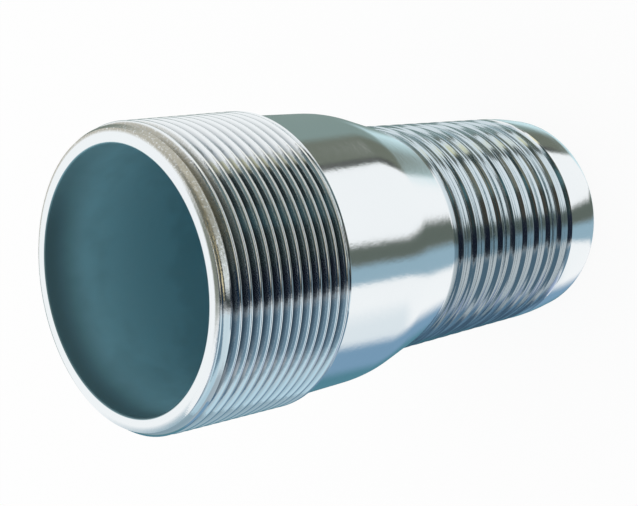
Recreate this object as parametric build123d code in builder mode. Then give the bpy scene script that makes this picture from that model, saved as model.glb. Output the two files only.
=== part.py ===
from build123d import *

import os
from math import radians, tan

# A swaged hose nipple in one piece: a tube with a tapered pipe end at its wide mouth, a plain
# barrel, a smooth swage down to a narrower hose shank with ridges round it, and a crowned nose.
# It stands on its hose end, so Z runs up the axis from the hose end to the mouth, with the
# origin at the centre of the hose end's face. All sizes are in millimetres.

# Barrel and its bore
barrel_diameter = 58.3
barrel_wall = 3.75
barrel_length = 20.3

# Tapered pipe end of the 2 in size, solid out to the crests of its thread
pipe_end_length = 29.9
pipe_end_diameter = 58.62
pipe_end_taper = 1 / 16
start_chamfer_length = 2.2
start_chamfer_diameter = 56.4
mouth_face_diameter = 53.2
mouth_bevel_drop = 0.3
mouth_inner_chamfer = 0.2
shoulder_length = 1.2

# Swage between the barrel and the shank
swage_angle = 14.0
swage_upper_blend = 30.0
swage_lower_blend = 12.0

# Hose shank with ridges that rise steeply on their mouth side
shank_base_diameter = 50.1
shank_wall = 3.75
groove_count = 10
ridge_pitch = 4.74
ridge_height = 0.6
ridge_rise = 1.15
ridge_fall = 2.1
top_groove_floor = 0.85

# Nose at the hose end
nose_length = 11.5
nose_drop = 0.85
nose_rim_chamfer = 0.6
hose_bore_chamfer = 0.5

# Radii that follow
barrel_radius = barrel_diameter / 2
barrel_bore_radius = barrel_radius - barrel_wall
mouth_face_radius = mouth_face_diameter / 2
start_chamfer_radius = start_chamfer_diameter / 2
shank_radius = shank_base_diameter / 2
shank_bore_radius = shank_radius - shank_wall
ridge_radius = shank_radius + ridge_height
nose_end_radius = ridge_radius - nose_drop

# Heights up the axis
swage_length = (barrel_radius - shank_radius) / tan(radians(swage_angle))
nose_shoulder = nose_length + ridge_rise
swage_bottom = nose_shoulder + (groove_count - 1) * ridge_pitch + top_groove_floor
swage_top = swage_bottom + swage_length
barrel_top = swage_top + barrel_length
pipe_end_bottom = barrel_top + shoulder_length
mouth = pipe_end_bottom + pipe_end_length


def pipe_end_radius(height):
    """Radius of the tapered pipe end at a height."""
    return (pipe_end_diameter + pipe_end_taper * (mouth - height)) / 2


# The tube: half of its section beside the axis, turned about Z
with BuildPart() as nipple_body:
    with BuildSketch(Plane.XZ):
        with BuildLine():
            swage = FilletPolyline(
                (shank_radius, nose_shoulder),
                (shank_radius, swage_bottom),
                (barrel_radius, swage_top),
                (barrel_radius, barrel_top),
                radius=[swage_lower_blend, swage_upper_blend],
            )
            chamfer_foot = mouth - start_chamfer_length
            Polyline(
                swage @ 1,
                (pipe_end_radius(pipe_end_bottom), pipe_end_bottom),
                (pipe_end_radius(chamfer_foot), chamfer_foot),
                (start_chamfer_radius, mouth - mouth_bevel_drop),
                (mouth_face_radius, mouth),
                (barrel_bore_radius + mouth_inner_chamfer, mouth),
                (barrel_bore_radius, mouth - mouth_inner_chamfer),
                (barrel_bore_radius, swage_top),
                (shank_bore_radius, swage_bottom),
                (shank_bore_radius, hose_bore_chamfer),
                (shank_bore_radius + hose_bore_chamfer, 0),
                (nose_end_radius - nose_rim_chamfer, 0),
                (nose_end_radius, nose_rim_chamfer),
            )
            TangentArc(
                (ridge_radius, nose_length), (nose_end_radius, nose_rim_chamfer), tangent=(0, -1)
            )
            Line((ridge_radius, nose_length), swage @ 0)
        make_face()
    revolve(axis=Axis.Z)

    # Ridges of the shank: seen going up, each one swells gently out of the groove below it, comes
    # to a crest and drops steeply into the groove above it, as the nose does
    with BuildSketch(Plane.XZ):
        for index in range(1, groove_count):
            crest = nose_length + index * ridge_pitch
            with BuildLine():
                Polyline(
                    (shank_radius - ridge_height, crest - ridge_fall),
                    (shank_radius, crest - ridge_fall),
                    (ridge_radius, crest),
                    (shank_radius, crest + ridge_rise),
                    (shank_radius - ridge_height, crest + ridge_rise),
                    close=True,
                )
            make_face()
    revolve(axis=Axis.Z)

os.makedirs("parts", exist_ok=True)
nipple_body.part.label = "nipple_body"
export_step(nipple_body.part, "parts/nipple_body.step")
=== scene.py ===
import math

import bmesh
import bpy
import numpy as np
from mathutils import Matrix, Vector


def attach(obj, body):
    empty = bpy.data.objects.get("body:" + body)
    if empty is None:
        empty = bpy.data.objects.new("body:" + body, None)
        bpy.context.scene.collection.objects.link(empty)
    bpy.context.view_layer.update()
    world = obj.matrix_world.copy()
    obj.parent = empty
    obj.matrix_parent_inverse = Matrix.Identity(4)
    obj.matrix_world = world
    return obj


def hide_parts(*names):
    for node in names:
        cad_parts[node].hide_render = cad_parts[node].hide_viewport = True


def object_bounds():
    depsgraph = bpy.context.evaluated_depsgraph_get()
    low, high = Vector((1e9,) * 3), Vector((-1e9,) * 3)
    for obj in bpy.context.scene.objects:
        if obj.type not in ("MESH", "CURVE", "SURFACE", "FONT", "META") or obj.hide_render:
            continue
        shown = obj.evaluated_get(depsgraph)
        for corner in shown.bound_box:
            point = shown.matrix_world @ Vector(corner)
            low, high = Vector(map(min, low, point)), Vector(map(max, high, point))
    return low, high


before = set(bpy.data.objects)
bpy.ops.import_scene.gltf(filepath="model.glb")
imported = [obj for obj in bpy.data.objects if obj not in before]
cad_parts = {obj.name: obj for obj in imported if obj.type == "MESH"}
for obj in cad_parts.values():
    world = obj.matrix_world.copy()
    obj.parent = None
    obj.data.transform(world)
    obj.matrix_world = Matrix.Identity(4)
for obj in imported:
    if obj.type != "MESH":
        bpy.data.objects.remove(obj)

bl_info = {
    "name": "Hose nipple",
    "version": (1, 0, 0),
    "blender": (4, 5, 0),
    "location": "View3D > Sidebar > Nipple",
    "description": "Dresses a swaged steel hose nipple with its pipe thread, ridges and zinc plate",
    "category": "Object",
}

# The nipple stands on its hose end: Z runs up its axis to the threaded mouth. Lengths are in metres.
MM = 0.001
CAD_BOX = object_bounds()
MOUTH = CAD_BOX[1].z

# Form of the pipe thread: its depth and the rounding of its crests and roots, in pitches, the lean of its
# flanks, and how much its radius grows for each metre down from the mouth. Turns are counted from FRONT.
THREAD_DEPTH = 0.6403
THREAD_ROUNDING = 0.1373
FLANK_LEAN = math.radians(27.5)
TAPER = 1 / 32
FRONT = -math.pi / 2

# The photograph's camera, as directions in the nipple's own frame
PHOTO_RIGHT = Vector((-0.08594, -0.70733, -0.70164))
PHOTO_UP = Vector((0.99258, 0.0, -0.12158))
PHOTO_BACK = Vector((0.08600, -0.70689, 0.70208))


class NippleShape(bpy.types.PropertyGroup):
    """Sizes of the turned body and its pipe thread"""

    barrel_radius: bpy.props.FloatProperty(
        name="Barrel radius", description="Radius of the plain barrel below the thread",
        default=29.15 * MM, subtype="DISTANCE", unit="LENGTH")
    barrel_bore: bpy.props.FloatProperty(
        name="Barrel bore radius", description="Radius of the bore at the mouth",
        default=25.4 * MM, subtype="DISTANCE", unit="LENGTH")
    shank_radius: bpy.props.FloatProperty(
        name="Shank radius", description="Radius of the hose shank in its grooves",
        default=25.05 * MM, subtype="DISTANCE", unit="LENGTH")
    shank_bore: bpy.props.FloatProperty(
        name="Shank bore radius", description="Radius of the bore inside the hose shank",
        default=21.3 * MM, subtype="DISTANCE", unit="LENGTH")
    swage_bottom: bpy.props.FloatProperty(
        name="Swage bottom", description="Height at which the shank starts to widen",
        default=56.16 * MM, subtype="DISTANCE", unit="LENGTH")
    swage_top: bpy.props.FloatProperty(
        name="Swage top", description="Height at which the barrel has its full width",
        default=72.604 * MM, subtype="DISTANCE", unit="LENGTH")
    swage_lower_blend: bpy.props.FloatProperty(
        name="Lower swage blend", description="Radius of the bend from the shank into the swage",
        default=12.0 * MM, subtype="DISTANCE", unit="LENGTH")
    swage_upper_blend: bpy.props.FloatProperty(
        name="Upper swage blend", description="Radius of the bend from the swage into the barrel",
        default=30.0 * MM, subtype="DISTANCE", unit="LENGTH")
    barrel_top: bpy.props.FloatProperty(
        name="Barrel top", description="Height at which the barrel meets the thread's shoulder",
        default=92.904 * MM, subtype="DISTANCE", unit="LENGTH")
    thread_bottom: bpy.props.FloatProperty(
        name="Thread bottom", description="Height at which the shoulder is as wide as the crests",
        default=94.104 * MM, subtype="DISTANCE", unit="LENGTH")
    mouth_face_radius: bpy.props.FloatProperty(
        name="Mouth face radius", description="Outer radius of the flat ring round the mouth",
        default=26.6 * MM, subtype="DISTANCE", unit="LENGTH")
    mouth_bevel_radius: bpy.props.FloatProperty(
        name="Mouth bevel radius", description="Outer radius of the slight bevel round the flat ring",
        default=28.2 * MM, subtype="DISTANCE", unit="LENGTH")
    mouth_inner_chamfer: bpy.props.FloatProperty(
        name="Mouth inner chamfer", description="Chamfer between the bore and the mouth's face",
        default=0.2 * MM, subtype="DISTANCE", unit="LENGTH")
    mouth_bevel_drop: bpy.props.FloatProperty(
        name="Mouth bevel drop", description="How far the bevel falls away from the mouth's face",
        default=0.3 * MM, subtype="DISTANCE", unit="LENGTH")
    crest_radius: bpy.props.FloatProperty(
        name="Crest radius", description="Radius over the thread's crests at the mouth",
        default=29.31 * MM, subtype="DISTANCE", unit="LENGTH")
    thread_pitch: bpy.props.FloatProperty(
        name="Thread pitch", description="Distance from one crest of the thread to the next",
        default=25.4 / 11 * MM, subtype="DISTANCE", unit="LENGTH")
    thread_end: bpy.props.FloatProperty(
        name="Thread end", description="Length over which the thread's last turn rises to the shoulder",
        default=0.5 * MM, subtype="DISTANCE", unit="LENGTH")
    start_chamfer: bpy.props.FloatProperty(
        name="Start chamfer", description="Length of the chamfer at the thread's start",
        default=2.2 * MM, subtype="DISTANCE", unit="LENGTH")
    first_crest: bpy.props.FloatProperty(
        name="First crest", description="Distance from the mouth to the first crest on the front",
        default=1.47 * MM, subtype="DISTANCE", unit="LENGTH")
    ridge_count: bpy.props.IntProperty(
        name="Ridges", description="Number of ridges round the hose shank", default=9, min=0)
    ridge_pitch: bpy.props.FloatProperty(
        name="Ridge pitch", description="Distance from one ridge of the shank to the next",
        default=4.74 * MM, subtype="DISTANCE", unit="LENGTH")
    ridge_height: bpy.props.FloatProperty(
        name="Ridge height", description="Height of a ridge over the grooves beside it",
        default=0.6 * MM, subtype="DISTANCE", unit="LENGTH")
    ridge_back: bpy.props.FloatProperty(
        name="Ridge back", description="Length of a ridge's gentle side, towards the hose end",
        default=2.4 * MM, subtype="DISTANCE", unit="LENGTH")
    ridge_face: bpy.props.FloatProperty(
        name="Ridge face", description="Length of a ridge's steep side, towards the mouth",
        default=1.15 * MM, subtype="DISTANCE", unit="LENGTH")
    nose_length: bpy.props.FloatProperty(
        name="Nose length", description="Height of the crowned nose at the hose end",
        default=11.5 * MM, subtype="DISTANCE", unit="LENGTH")
    nose_drop: bpy.props.FloatProperty(
        name="Nose drop", description="How much narrower the nose is at the hose end than over the ridges",
        default=0.85 * MM, subtype="DISTANCE", unit="LENGTH")
    nose_rim: bpy.props.FloatProperty(
        name="Nose rim", description="Rounding of the nose's rim",
        default=0.6 * MM, subtype="DISTANCE", unit="LENGTH")
    hose_bore_chamfer: bpy.props.FloatProperty(
        name="Hose bore chamfer", description="Chamfer of the bore at the hose end",
        default=0.5 * MM, subtype="DISTANCE", unit="LENGTH")
    segments: bpy.props.IntProperty(
        name="Segments", description="Number of facets round the nipple", default=192, min=24)


class NippleFinish(bpy.types.PropertyGroup):
    """Colours of the zinc plate, with the painted reflection and shade of the shank and the painted shade of
    the thread's roots
    """

    plate: bpy.props.FloatVectorProperty(
        name="Zinc plate", description="Colour of the bright zinc plate",
        default=(0.87, 0.90, 0.92), subtype="COLOR", min=0.0, max=1.0)
    # Painted reflection and shade: the hose shank's plate is coloured darker and bluer than the rest,
    # standing in for the table's reflection and the shade in its grooves
    shank: bpy.props.FloatVectorProperty(
        name="Turned shank", description="Colour of the plate over the turned hose shank",
        default=(0.61, 0.70, 0.75), subtype="COLOR", min=0.0, max=1.0)
    # Painted shade: the plate down in the thread's roots is coloured darker, standing in for the shade there
    root: bpy.props.FloatVectorProperty(
        name="Thread root", description="Colour of the plate down in the roots of the thread",
        default=(0.42, 0.45, 0.48), subtype="COLOR", min=0.0, max=1.0)
    bore: bpy.props.FloatVectorProperty(
        name="Bore", description="Colour of the duller plate inside the bore",
        default=(0.33, 0.62, 0.70), subtype="COLOR", min=0.0, max=1.0)
    burr: bpy.props.FloatVectorProperty(
        name="Cut burr", description="Colour of the torn metal at the thread's start",
        default=(0.43, 0.41, 0.34), subtype="COLOR", min=0.0, max=1.0)


class StudioSettings(bpy.types.PropertyGroup):
    """Camera, floor and light of the studio"""

    lens: bpy.props.FloatProperty(
        name="Lens", description="Focal length of the camera in millimetres", default=61.88, min=1.0)
    floor_radius: bpy.props.FloatProperty(
        name="Floor radius", description="Radius of the pale floor",
        default=6.0, subtype="DISTANCE", unit="LENGTH")
    light_level: bpy.props.FloatProperty(
        name="Light level", description="Strength of the plain light from all round", default=1.0, min=0.0)


class Wire:
    """A node socket that can be used in sums: each operator adds the Math node that works it out"""

    def __init__(self, tree, socket):
        self.tree = tree
        self.socket = socket

    def math(self, operation, *others):
        return self.tree.add("ShaderNodeMath", {"operation": operation}, self, *others)

    def __add__(self, other):
        return self.math("ADD", other)

    __radd__ = __add__

    def __sub__(self, other):
        return self.math("SUBTRACT", other)

    def __rsub__(self, other):
        return self.tree.add("ShaderNodeMath", {"operation": "SUBTRACT"}, other, self)

    def __mul__(self, other):
        return self.math("MULTIPLY", other)

    __rmul__ = __mul__

    def larger(self, other):
        return self.math("MAXIMUM", other)


class Tree:
    """Adds nodes to one node tree, each from its type, its settings and the values of its sockets"""

    def __init__(self, node_tree):
        self.nodes = node_tree.nodes
        self.links = node_tree.links
        self.nodes.clear()

    def add(self, kind, settings=None, *values, output=0, **named):
        """One node: values go to its sockets in order and named values by name; gives back one output"""
        node = self.nodes.new(kind)
        for name, value in (settings or {}).items():
            setattr(node, name, value)
        for socket, value in zip(node.inputs, values):
            self.put(socket, value)
        for name, value in named.items():
            self.put(node.inputs[name.replace("_", " ")], value)
        return Wire(self, node.outputs[output]) if node.outputs else None

    def put(self, socket, value):
        """Links or sets a socket, and leaves it alone for None"""
        if isinstance(value, Wire):
            self.links.new(value.socket, socket)
        elif value is not None:
            if socket.type == "RGBA" and len(value) == 3:
                value = (*value, 1.0)
            socket.default_value = value

    def smooth(self, value, low, high):
        """0 below low and 1 above high, with a soft step between; low may be the larger"""
        step = {"interpolation_type": "SMOOTHSTEP"}
        return self.add("ShaderNodeMapRange", step, value, low, high, 0.0, 1.0)

    def band(self, value, low, high, soft):
        """1 between low and high, with soft edges"""
        return self.smooth(value, low - soft, low + soft) * self.smooth(value, high + soft, high - soft)

    def blend(self, amount, under, over, label=""):
        """The colour over laid on the colour under where amount is 1"""
        settings = {"data_type": "RGBA", "label": label}
        # The Mix node's colours come after its sockets for numbers and vectors
        others = [None] * 5
        return self.add("ShaderNodeMix", settings, amount, *others, under, over, output=2)

    def along(self, vector, direction):
        """How far a vector reaches in a direction"""
        dot = {"operation": "DOT_PRODUCT"}
        return self.add("ShaderNodeVectorMath", dot, vector, tuple(direction), output="Value")


# Shape of the body

LONG_BEND_STEPS = 8
SHORT_BEND_STEPS = 3


def rounded_line(corners):
    """Points of a section, from corners given as (radius, height, rounding)"""
    points = []
    for index, (radius, height, rounding) in enumerate(corners):
        here = Vector((radius, height))
        if not rounding or index in (0, len(corners) - 1):
            points.append(here)
            continue
        to_last = (Vector(corners[index - 1][:2]) - here).normalized()
        to_next = (Vector(corners[index + 1][:2]) - here).normalized()
        half = to_last.angle(to_next) / 2
        reach = rounding / math.tan(half)
        centre = here + (to_last + to_next).normalized() * rounding / math.sin(half)
        start = here + to_last * reach - centre
        end = here + to_next * reach - centre
        sweep = start.angle(end)
        steps = LONG_BEND_STEPS if rounding > 1 * MM else SHORT_BEND_STEPS
        for step in range(steps + 1):
            share = step / steps
            points.append(centre + (start * math.sin((1 - share) * sweep) + end * math.sin(share * sweep))
                          / math.sin(sweep))
    return points


def thread_cut(phase, pitch):
    """Depth of the rounded thread below its crests, at a distance from the crest's middle in pitches"""
    rounding = THREAD_ROUNDING * pitch
    depth = THREAD_DEPTH * pitch
    along = np.abs((phase + 0.5) % 1.0 - 0.5) * pitch
    edge = rounding * math.cos(FLANK_LEAN)
    crest = rounding - np.sqrt(np.maximum(rounding ** 2 - along ** 2, 0.0))
    from_root = pitch / 2 - along
    root = depth - rounding + np.sqrt(np.maximum(rounding ** 2 - from_root ** 2, 0.0))
    flank = rounding * (1 - math.sin(FLANK_LEAN)) + (along - edge) / math.tan(FLANK_LEAN)
    return np.where(along < edge, crest, np.where(from_root < edge, root, flank))


class Skin:
    """Gathers rings of points round the axis and the faces between them"""

    def __init__(self, segments):
        self.turns = np.arange(segments) * math.tau / segments
        self.points = []
        self.faces = []

    def rows(self, radius, height, shift=0):
        """Adds a grid of rings; with a shift, each ring runs on into the one that many rows along"""
        count, segments = radius.shape
        first = sum(len(block) for block in self.points)
        block = np.stack([radius * np.cos(self.turns), radius * np.sin(self.turns), height], axis=-1)
        self.points.append(block.reshape(-1, 3))
        for row in range(count - 1):
            for column in range(segments):
                beside = (column + 1) % segments
                skip = shift if beside == 0 else 0
                if row + 1 + skip >= count:
                    continue
                self.faces.append([
                    first + row * segments + column,
                    first + (row + skip) * segments + beside,
                    first + (row + 1 + skip) * segments + beside,
                    first + (row + 1) * segments + column,
                ])

    def turned(self, section):
        """Adds the rings of a section given as (radius, height) points"""
        radius = np.array([point[0] for point in section])[:, None] + 0 * self.turns
        height = np.array([point[1] for point in section])[:, None] + 0 * self.turns
        self.rows(radius, height)

    def mesh(self, name, sharp_angle):
        """One closed mesh of all the rings"""
        mesh = bpy.data.meshes.new(name)
        mesh.from_pydata(np.concatenate(self.points).tolist(), [], self.faces)
        work = bmesh.new()
        work.from_mesh(mesh)
        bmesh.ops.remove_doubles(work, verts=work.verts, dist=0.002 * MM)
        bmesh.ops.dissolve_degenerate(work, edges=work.edges, dist=0.001 * MM)
        bmesh.ops.recalc_face_normals(work, faces=work.faces)
        work.to_mesh(mesh)
        work.free()
        mesh.shade_smooth()
        mesh.set_sharp_from_angle(angle=sharp_angle)
        return mesh


def nose_end_radius(shape):
    """Radius of the nose where it meets the hose end's face"""
    return shape.shank_radius + shape.ridge_height - shape.nose_drop


def outer_section(shape):
    """Section of the outside from the hose end's face up to the thread's foot"""
    base = shape.shank_radius
    top = base + shape.ridge_height
    nose_end = nose_end_radius(shape)
    crown_length = shape.nose_length - shape.nose_rim
    corners = [(nose_end - 2 * shape.nose_rim, 0.0, 0.0), (nose_end, 0.0, shape.nose_rim)]
    for share in (0.15, 0.35, 0.6, 0.85):
        swell = shape.nose_drop * (1 - (1 - share) ** 2)
        corners.append((nose_end + swell, shape.nose_rim + share * crown_length, 0.0))
    corners.append((top, shape.nose_length, 0.12 * MM))
    corners.append((base, shape.nose_length + shape.ridge_face, 0.25 * MM))
    # Each ridge going up: its foot, the low step on its gentle side, its rounded crest and its steep side
    step = base + 0.3 * MM
    dip = base + 0.22 * MM
    for index in range(1, shape.ridge_count + 1):
        crest = shape.nose_length + index * shape.ridge_pitch
        corners += [
            (base, crest - shape.ridge_back, 0.3 * MM),
            (step, crest - 1.75 * MM, 0.12 * MM),
            (dip, crest - 1.25 * MM, 0.15 * MM),
            (top, crest - 0.45 * MM, 0.15 * MM),
            (top, crest, 0.08 * MM),
            (base, crest + shape.ridge_face, 0.25 * MM),
        ]
    corners += [
        (base, shape.swage_bottom, shape.swage_lower_blend),
        (shape.barrel_radius, shape.swage_top, shape.swage_upper_blend),
        (shape.barrel_radius, shape.barrel_top, 0.4 * MM),
        (crest_line(shape, shape.thread_bottom), shape.thread_bottom, 0.0),
    ]
    return rounded_line(corners)


def crest_line(shape, height):
    """Radius over the tapered thread's crests at a height"""
    return shape.crest_radius + (MOUTH - height) * TAPER


def thread_surface(shape, turns, height):
    """Radius of the pipe end at an angle and a height"""
    pitch = shape.thread_pitch
    below = MOUTH - height
    phase = (below - shape.first_crest) / pitch + (turns - FRONT) / math.tau
    depth = np.clip((height - shape.thread_bottom) / shape.thread_end, 0.0, 1.0)
    radius = crest_line(shape, height) - thread_cut(phase, pitch) * depth
    widening = crest_line(shape, MOUTH - shape.start_chamfer) - shape.mouth_bevel_radius
    chamfer = shape.mouth_bevel_radius + widening * (below - shape.mouth_bevel_drop) \
        / (shape.start_chamfer - shape.mouth_bevel_drop)
    return np.minimum(radius, chamfer)


def add_thread(skin, shape):
    """Rings that follow the thread's turns, trimmed at the shoulder and at the mouth"""
    pitch = shape.thread_pitch
    # Rings of half a turn, closest together on the roundings of the crest and the root
    half = np.array([0.0, 0.05, 0.095, 0.12, 0.24, 0.36, 0.40, 0.45])
    phases = np.concatenate([half, half + 0.5])
    spare = 2
    turns_down = int((MOUTH - shape.thread_bottom) / pitch) + spare
    steps = (np.arange(-turns_down - spare, spare)[:, None] + phases[None, :]).ravel() * pitch
    climb = (skin.turns[None, :] - FRONT) / math.tau * pitch
    height = np.clip(MOUTH - shape.first_crest + steps[:, None] + climb,
                     shape.thread_bottom, MOUTH - shape.mouth_bevel_drop)
    skin.rows(thread_surface(shape, skin.turns[None, :], height), height, shift=len(phases))


def add_mouth_and_bore(skin, shape):
    """Rings of the mouth's face, the bore down to the hose end, and the hose end's face"""
    bevel_foot = MOUTH - shape.mouth_bevel_drop
    edge = thread_surface(shape, skin.turns, np.full_like(skin.turns, bevel_foot))
    inner = shape.barrel_bore + shape.mouth_inner_chamfer
    shares = np.array([0.0, 0.12, 0.4, 0.7, 0.88, 1.0])[:, None]
    bevel = edge + (shape.mouth_face_radius - edge) * shares
    rise = np.sin(shares * math.pi / 2) * shape.mouth_bevel_drop
    face = np.concatenate([bevel, np.full_like(bevel[:1], inner)])
    skin.rows(face, np.concatenate([bevel_foot + rise + 0 * bevel, np.full_like(bevel[:1], MOUTH)]))
    skin.turned(rounded_line([
        (inner, MOUTH, 0.0),
        (shape.barrel_bore, MOUTH - shape.mouth_inner_chamfer, 0.1 * MM),
        (shape.barrel_bore, shape.swage_top, shape.swage_upper_blend),
        (shape.shank_bore, shape.swage_bottom, shape.swage_lower_blend),
        (shape.shank_bore, shape.hose_bore_chamfer, 0.2 * MM),
        (shape.shank_bore + shape.hose_bore_chamfer, 0.0, 0.0),
        (nose_end_radius(shape) - 2 * shape.nose_rim, 0.0, 0.0),
    ]))


# Zinc plate


def darker(colour, share):
    """A colour at a share of its level"""
    return [share * level for level in colour]


def plate_zones(tree, shape, place, height):
    """Where each kind of finish and each painted shade lies on the nipple, each from 0 to 1"""
    across = tree.add("ShaderNodeVectorMath", {"operation": "MULTIPLY"}, place, (1.0, 1.0, 0.0))
    radius = tree.add("ShaderNodeVectorMath", {"operation": "LENGTH"}, across, output="Value")
    upper = tree.along(place, PHOTO_UP)
    depth = crest_line(shape, height) - radius

    # The bore is what lies inside the middle of the shank's wall or, higher up, inside the barrel's wall
    outside = tree.smooth(radius, 23.0 * MM, 24.0 * MM)
    wide_bore = tree.smooth(radius, 25.75 * MM, 25.5 * MM) * tree.smooth(height, 60 * MM, 64 * MM)
    inside = wide_bore.larger(1.0 - outside)
    # Painted shade inside the bore: darkest just inside the mouth and on the bore's lower side
    mouth = tree.smooth(height, MOUTH - 11 * MM, MOUTH - 1 * MM)
    shade = 0.35 + 0.6 * tree.smooth(upper, 14 * MM, -6 * MM)

    # Band of the hose shank. It gets tool marks, a rougher plate, and a darker, bluer colour that is painted
    # reflection and shade
    turned = tree.band(height, shape.nose_length + 0.7 * MM, shape.swage_bottom + 0.6 * MM, 0.5 * MM)
    shank = outside * turned
    above_shoulder = tree.smooth(height, shape.barrel_top, shape.thread_bottom)
    below_mouth = tree.smooth(height, MOUTH - 0.6 * MM, MOUTH - 1.8 * MM)
    first_turns = tree.smooth(height, MOUTH - 8.0 * MM, MOUTH - 2.0 * MM)
    chamfered = tree.smooth(radius, 27.3 * MM, 28.0 * MM) * tree.smooth(depth, 0.1 * MM, 0.5 * MM)
    return {
        "inside": inside,
        # Painted shade inside the bore near the mouth
        "dim": inside * mouth * shade,
        "shank": shank,
        # Painted shade: the lower side of the shank
        "under": shank * tree.smooth(upper, 3 * MM, -11 * MM),
        # Painted shade: the roots of the thread
        "root": above_shoulder * below_mouth * tree.smooth(depth, 0.15 * MM, 1.2 * MM) * outside,
        "start": first_turns * chamfered * tree.smooth(upper, -20 * MM, -2 * MM),
    }


def zinc_plate(shape, finish):
    """Bright zinc plate, with tool marks on the shank, a duller bore and torn metal at the thread's start,
    and painted reflection and shade on the shank, in the thread's roots and inside the mouth
    """
    material = bpy.data.materials.new("bright_zinc_plate")
    material.use_nodes = True
    tree = Tree(material.node_tree)
    place = tree.add("ShaderNodeTexCoord", output="Object")
    height = tree.along(place, (0.0, 0.0, 1.0))
    zones = plate_zones(tree, shape, place, height)
    inside, shank, start = zones["inside"], zones["shank"], zones["start"]

    clouds = tree.add("ShaderNodeTexNoise", None, Vector=place, Scale=60.0, Detail=3.0, Roughness=0.6)
    skin = tree.add("ShaderNodeTexNoise", None, Vector=place, Scale=700.0, Detail=3.0, Roughness=0.65)
    grain = tree.add("ShaderNodeTexNoise", None, Vector=place, Scale=2400.0, Detail=2.0, Roughness=0.7)
    wander = height + 0.1 * MM * clouds
    lines = {"noise_dimensions": "1D"}
    tool_marks = tree.add("ShaderNodeTexNoise", lines, W=wander, Scale=720.0, Detail=1.5, Roughness=0.5)
    torn = start * tree.smooth(grain, 0.20, 0.52)
    blotches = inside * tree.smooth(clouds, 0.42, 0.62)

    colour = tree.blend(clouds * 0.25, finish.plate, darker(finish.plate, 0.93))
    # Painted reflection and shade: the shank is coloured darker and bluer
    colour = tree.blend(shank, colour, finish.shank)
    # Painted shade: the shank's lower side is coloured darker still
    colour = tree.blend(zones["under"] * 0.8, colour, darker(finish.shank, 0.55))
    # Painted shade: the thread's roots are coloured darker
    colour = tree.blend(zones["root"], colour, finish.root)
    colour = tree.blend(torn * 0.9, colour, finish.burr)
    colour = tree.blend(inside, colour, finish.bore)
    colour = tree.blend(blotches * 0.3, colour, darker(finish.bore, 0.6))
    # Painted shade: the bore is coloured much darker just inside the mouth
    colour = tree.blend(zones["dim"], colour, darker(finish.bore, 0.25))
    roughness = 0.08 + 0.04 * clouds + 0.04 * shank + 0.10 * start + 0.12 * torn + 0.36 * inside
    relief_in_mm = 0.016 * skin + 0.20 * tool_marks * shank + 0.06 * grain * start
    bump = tree.add("ShaderNodeBump", None, Strength=1.0, Distance=MM, Height=relief_in_mm)
    metal = tree.add("ShaderNodeBsdfPrincipled", None, Base_Color=colour, Metallic=1.0 - 0.45 * inside,
                     Roughness=roughness, Normal=bump)
    tree.add("ShaderNodeOutputMaterial", None, metal)
    return material


class NIPPLE_OT_body(bpy.types.Operator):
    """Turn the nipple's skin, wind the thread on it and plate it with zinc"""

    bl_idname = "nipple.body"
    bl_label = "Nipple body"

    def execute(self, context):
        shape = context.scene.nipple_shape
        skin = Skin(shape.segments)
        skin.turned(outer_section(shape))
        add_thread(skin, shape)
        add_mouth_and_bore(skin, shape)
        body = bpy.data.objects.new("plated_nipple", skin.mesh("plated_nipple", math.radians(40)))
        context.scene.collection.objects.link(body)
        body.data.materials.append(zinc_plate(shape, context.scene.nipple_finish))
        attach(body, "root")
        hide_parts("nipple_body")
        return {"FINISHED"}


# Stage

WHITE = (1.0, 1.0, 1.0)
FLOOR_COLOUR = (0.92, 0.92, 0.92)
# Share of plain white over the floor's own colour; the rest keeps the shadow
FLOOR_WHITENING = 0.88
OPEN_STUDIO = (0.99, 1.00, 1.00)

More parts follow.
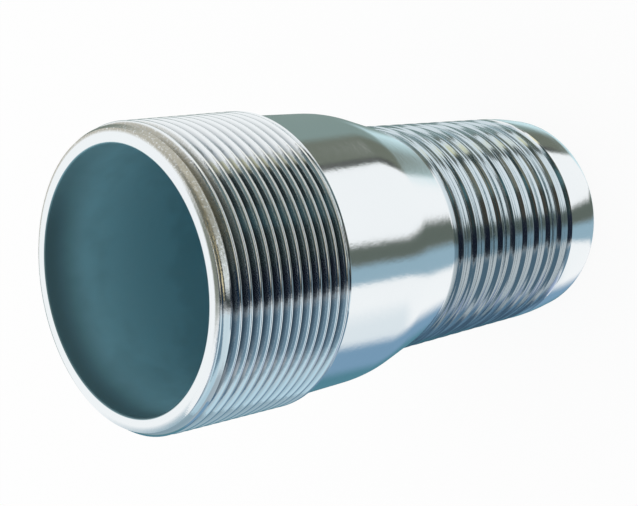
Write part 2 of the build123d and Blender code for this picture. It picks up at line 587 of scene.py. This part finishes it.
# The studio as its reflections show it, each panel laid over those before it. Its place is given in degrees:
# turn is 0 to the photograph's right and 90 at its camera, and lift is the height over the horizon. Both are
# given as two ends and half the width of the soft edge. Slope tilts the upper and lower edges, in degrees of
# lift for one of turn.
STUDIO_PANELS = (
    # name, colour, turn, lift, slope
    ("table beside the nipple", (0.16, 0.26, 0.34), (4, 60, 6), (-95, -24, 4), 0.0),
    ("table before the camera", (0.68, 0.82, 0.88), (60, 116, 6), (-95, -27, 3), 0.0),
    ("table before the mouth", (0.16, 0.26, 0.34), (116, 152, 5), (-50, -25, 3), 0.0),
    ("pale table edge", (0.55, 0.75, 0.85), (116, 200, 6), (-95, -48, 6), 0.0),
    ("table behind the nipple", (0.35, 0.48, 0.55), (-220, -108, 6), (-95, -30, 8), 0.0),
    ("foot of the nipple", (0.42, 0.50, 0.55), (-200, 200, 5), (-95, -66, 5), 0.0),
    ("pale sheet", (0.80, 0.86, 0.89), (-60, -4, 6), (-60, -27, 5), 0.0),
    ("lavender sheet", (0.46, 0.55, 0.74), (-60, -4, 6), (-60, -37, 3), 0.0),
    ("blue sheet", (0.20, 0.345, 0.49), (-130, -36, 5), (-400, -100, 9), 1.45),
    ("card over the far end", (0.24, 0.32, 0.30), (-135, -26, 5), (80, 500, 3), -1.11),
    ("olive end of the card", (0.165, 0.185, 0.150), (-64, -26, 5), (80, 500, 3), -1.11),
    ("edge of the card", (0.09, 0.095, 0.09), (-44, -26, 4), (80, 87, 3), -1.11),
    ("pale corner of the card", (0.62, 0.82, 0.86), (-80, -45, 4), (2, 27, 5), 0.0),
    ("bright ceiling", OPEN_STUDIO, (-135, -18, 5), (51, 75, 3), 0.0),
    ("dim ceiling", (0.40, 0.50, 0.56), (-75, -40, 5), (54, 64, 3), 0.0),
    ("teal end of the sheet", (0.09, 0.235, 0.30), (-130, -72, 7), (-60, 0, 7), 0.0),
    ("dark of the sheet", (0.11, 0.19, 0.28), (-100, -26, 8), (-68, -50, 4), 0.0),
    ("lower side gap", (0.31, 0.46, 0.55), (-58, 6, 4), (-14.6, -2.6, 2.0), 0.15),
    ("side gap", (0.12, 0.145, 0.125), (-48, 6, 8), (-4.6, 6.5, 2.6), 0.15),
    ("frame of the side box", (0.20, 0.30, 0.33), (6, 13, 3), (-24, 66, 4), 0.0),
    ("unlit room", (0.035, 0.055, 0.055), (12, 56, 2), (-22, 71, 2.5), 0.0),
    ("brown wall", (0.26, 0.24, 0.18), (38, 52, 3), (27, 60, 6), 0.0),
    ("brown door", (0.075, 0.06, 0.045), (38, 52, 3), (2, 26, 5), 0.0),
    ("teal door", (0.08, 0.155, 0.165), (12, 40, 3), (27, 41, 4), 0.0),
    ("dark skirting", (0.015, 0.02, 0.035), (12, 56, 3), (-22, 2, 4), 0.0),
    ("unlit wall behind the camera", (0.03, 0.04, 0.04), (56, 141, 3), (-25, 42, 4), 0.0),
    ("cool window", (0.95, 1.00, 1.00), (63, 86, 2), (-14, 75, 5), 0.0),
    ("warm lamp", (0.90, 0.78, 0.50), (101, 111, 2), (-18, 75, 4), 0.0),
    ("grey wall", (0.14, 0.20, 0.21), (119, 141, 4), (12, 30, 4), 0.0),
    ("lower grey wall", (0.05, 0.09, 0.10), (119, 141, 4), (-8, 14, 4), 0.0),
    ("navy skirting", (0.01, 0.025, 0.05), (116, 141, 4), (-24, -8, 3), 0.0),
    ("shade beside the mouth", (0.22, 0.24, 0.20), (141, 163, 6), (-20, 8, 6), 0.0),
    ("warm top light", (0.92, 0.86, 0.57), (-5, 37, 6), (69, 79, 3), 0.0),
)


def studio_world(level):
    """White for the camera, a plain level for the light, and the studio's panels for reflections"""
    world = bpy.data.worlds.new("studio")
    world.use_nodes = True
    world.cycles.sampling_method = "NONE"
    tree = Tree(world.node_tree)
    direction = tree.add("ShaderNodeTexCoord", output="Generated")
    right = tree.along(direction, PHOTO_RIGHT)
    up = tree.along(direction, PHOTO_UP)
    back = tree.along(direction, PHOTO_BACK)
    turn = back.math("ARCTAN2", right) * math.degrees(1)
    lift = up.math("ARCSINE") * math.degrees(1)

    room = OPEN_STUDIO
    for name, colour, turns, lifts, slope in STUDIO_PANELS:
        tilted = lift + turn * slope if slope else lift
        room = tree.blend(tree.band(turn, *turns) * tree.band(tilted, *lifts), room, colour, label=name)

    seen = tree.add("ShaderNodeLightPath", output="Is Camera Ray")
    glossy = tree.add("ShaderNodeLightPath", output="Is Glossy Ray")
    through = tree.add("ShaderNodeLightPath", output="Is Transmission Ray")
    plain = tree.blend(seen, (level, level, level), WHITE)
    shown = tree.blend(glossy.larger(through), plain, room)
    background = tree.add("ShaderNodeBackground", None, Color=shown, Strength=1.0)
    tree.add("ShaderNodeOutputWorld", None, background)
    return world


def pale_floor(radius):
    """A flat round floor that shows white to the camera and keeps a soft shadow"""
    sides = 64
    mesh = bpy.data.meshes.new("floor")
    rim = [(radius * math.cos(turn), radius * math.sin(turn), 0.0)
           for turn in np.linspace(0.0, math.tau, sides, endpoint=False)]
    mesh.from_pydata(rim, [], [list(range(sides))])
    floor = bpy.data.objects.new("floor", mesh)
    floor.visible_glossy = False
    material = bpy.data.materials.new("pale_floor")
    material.use_nodes = True
    tree = Tree(material.node_tree)
    seen = tree.add("ShaderNodeLightPath", output="Is Camera Ray")
    glossy = tree.add("ShaderNodeLightPath", output="Is Glossy Ray")
    through = tree.add("ShaderNodeLightPath", output="Is Transmission Ray")
    whitened = seen.larger(glossy).larger(through) * FLOOR_WHITENING
    lit = tree.add("ShaderNodeBsdfDiffuse", None, Color=FLOOR_COLOUR)
    white = tree.add("ShaderNodeEmission", None, Color=WHITE, Strength=1.0)
    tree.add("ShaderNodeOutputMaterial", None, tree.add("ShaderNodeMixShader", None, whitened, lit, white))
    mesh.materials.append(material)
    return floor


class NIPPLE_OT_stage(bpy.types.Operator):
    """Set the camera of the photograph, the pale floor and the soft studio light"""

    bl_idname = "nipple.stage"
    bl_label = "Stage"

    def execute(self, context):
        settings = context.scene.nipple_studio
        scene = context.scene
        scene.world = studio_world(settings.light_level)
        floor = pale_floor(settings.floor_radius)
        scene.collection.objects.link(floor)

        camera = bpy.data.objects.new("camera", bpy.data.cameras.new("camera"))
        scene.collection.objects.link(camera)
        camera.data.sensor_width = 36.0
        camera.data.lens = settings.lens
        camera.data.clip_start = 0.005
        camera.data.clip_end = 50.0
        camera.data.dof.use_dof = False
        # The mouth's centre lies at this place before the photograph's camera: right, up, forward
        mouth_seen = (-36.58 * MM, -5.354 * MM, 201.13 * MM)
        place = Vector((0.0, 0.0, MOUTH)) - PHOTO_RIGHT * mouth_seen[0] - PHOTO_UP * mouth_seen[1] \
            + PHOTO_BACK * mouth_seen[2]
        turn = Matrix((PHOTO_RIGHT, PHOTO_UP, PHOTO_BACK)).transposed().to_4x4()
        camera.matrix_world = Matrix.Translation(place) @ turn
        scene.camera = camera

        scene.view_settings.view_transform = "Standard"
        return {"FINISHED"}


class NIPPLE_PT_panel(bpy.types.Panel):
    """Lists the nipple's sizes, finish and stage"""

    bl_idname = "NIPPLE_PT_panel"
    bl_label = "Hose nipple"
    bl_space_type = "VIEW_3D"
    bl_region_type = "UI"
    bl_category = "Nipple"

    def draw(self, context):
        scene = context.scene
        for settings in (scene.nipple_shape, scene.nipple_finish, scene.nipple_studio):
            column = self.layout.column(align=True)
            for name in settings.__annotations__:
                column.prop(settings, name)
        self.layout.operator(NIPPLE_OT_body.bl_idname)
        self.layout.operator(NIPPLE_OT_stage.bl_idname)


CLASSES = (NippleShape, NippleFinish, StudioSettings, NIPPLE_OT_body, NIPPLE_OT_stage, NIPPLE_PT_panel)


def register():
    for entry in CLASSES:
        bpy.utils.register_class(entry)
    bpy.types.Scene.nipple_shape = bpy.props.PointerProperty(type=NippleShape)
    bpy.types.Scene.nipple_finish = bpy.props.PointerProperty(type=NippleFinish)
    bpy.types.Scene.nipple_studio = bpy.props.PointerProperty(type=StudioSettings)


def unregister():
    del bpy.types.Scene.nipple_shape
    del bpy.types.Scene.nipple_finish
    del bpy.types.Scene.nipple_studio
    for entry in reversed(CLASSES):
        bpy.utils.unregister_class(entry)


def main():
    register()
    bpy.ops.nipple.body()
    bpy.ops.nipple.stage()


if __name__ == "__main__":
    main()
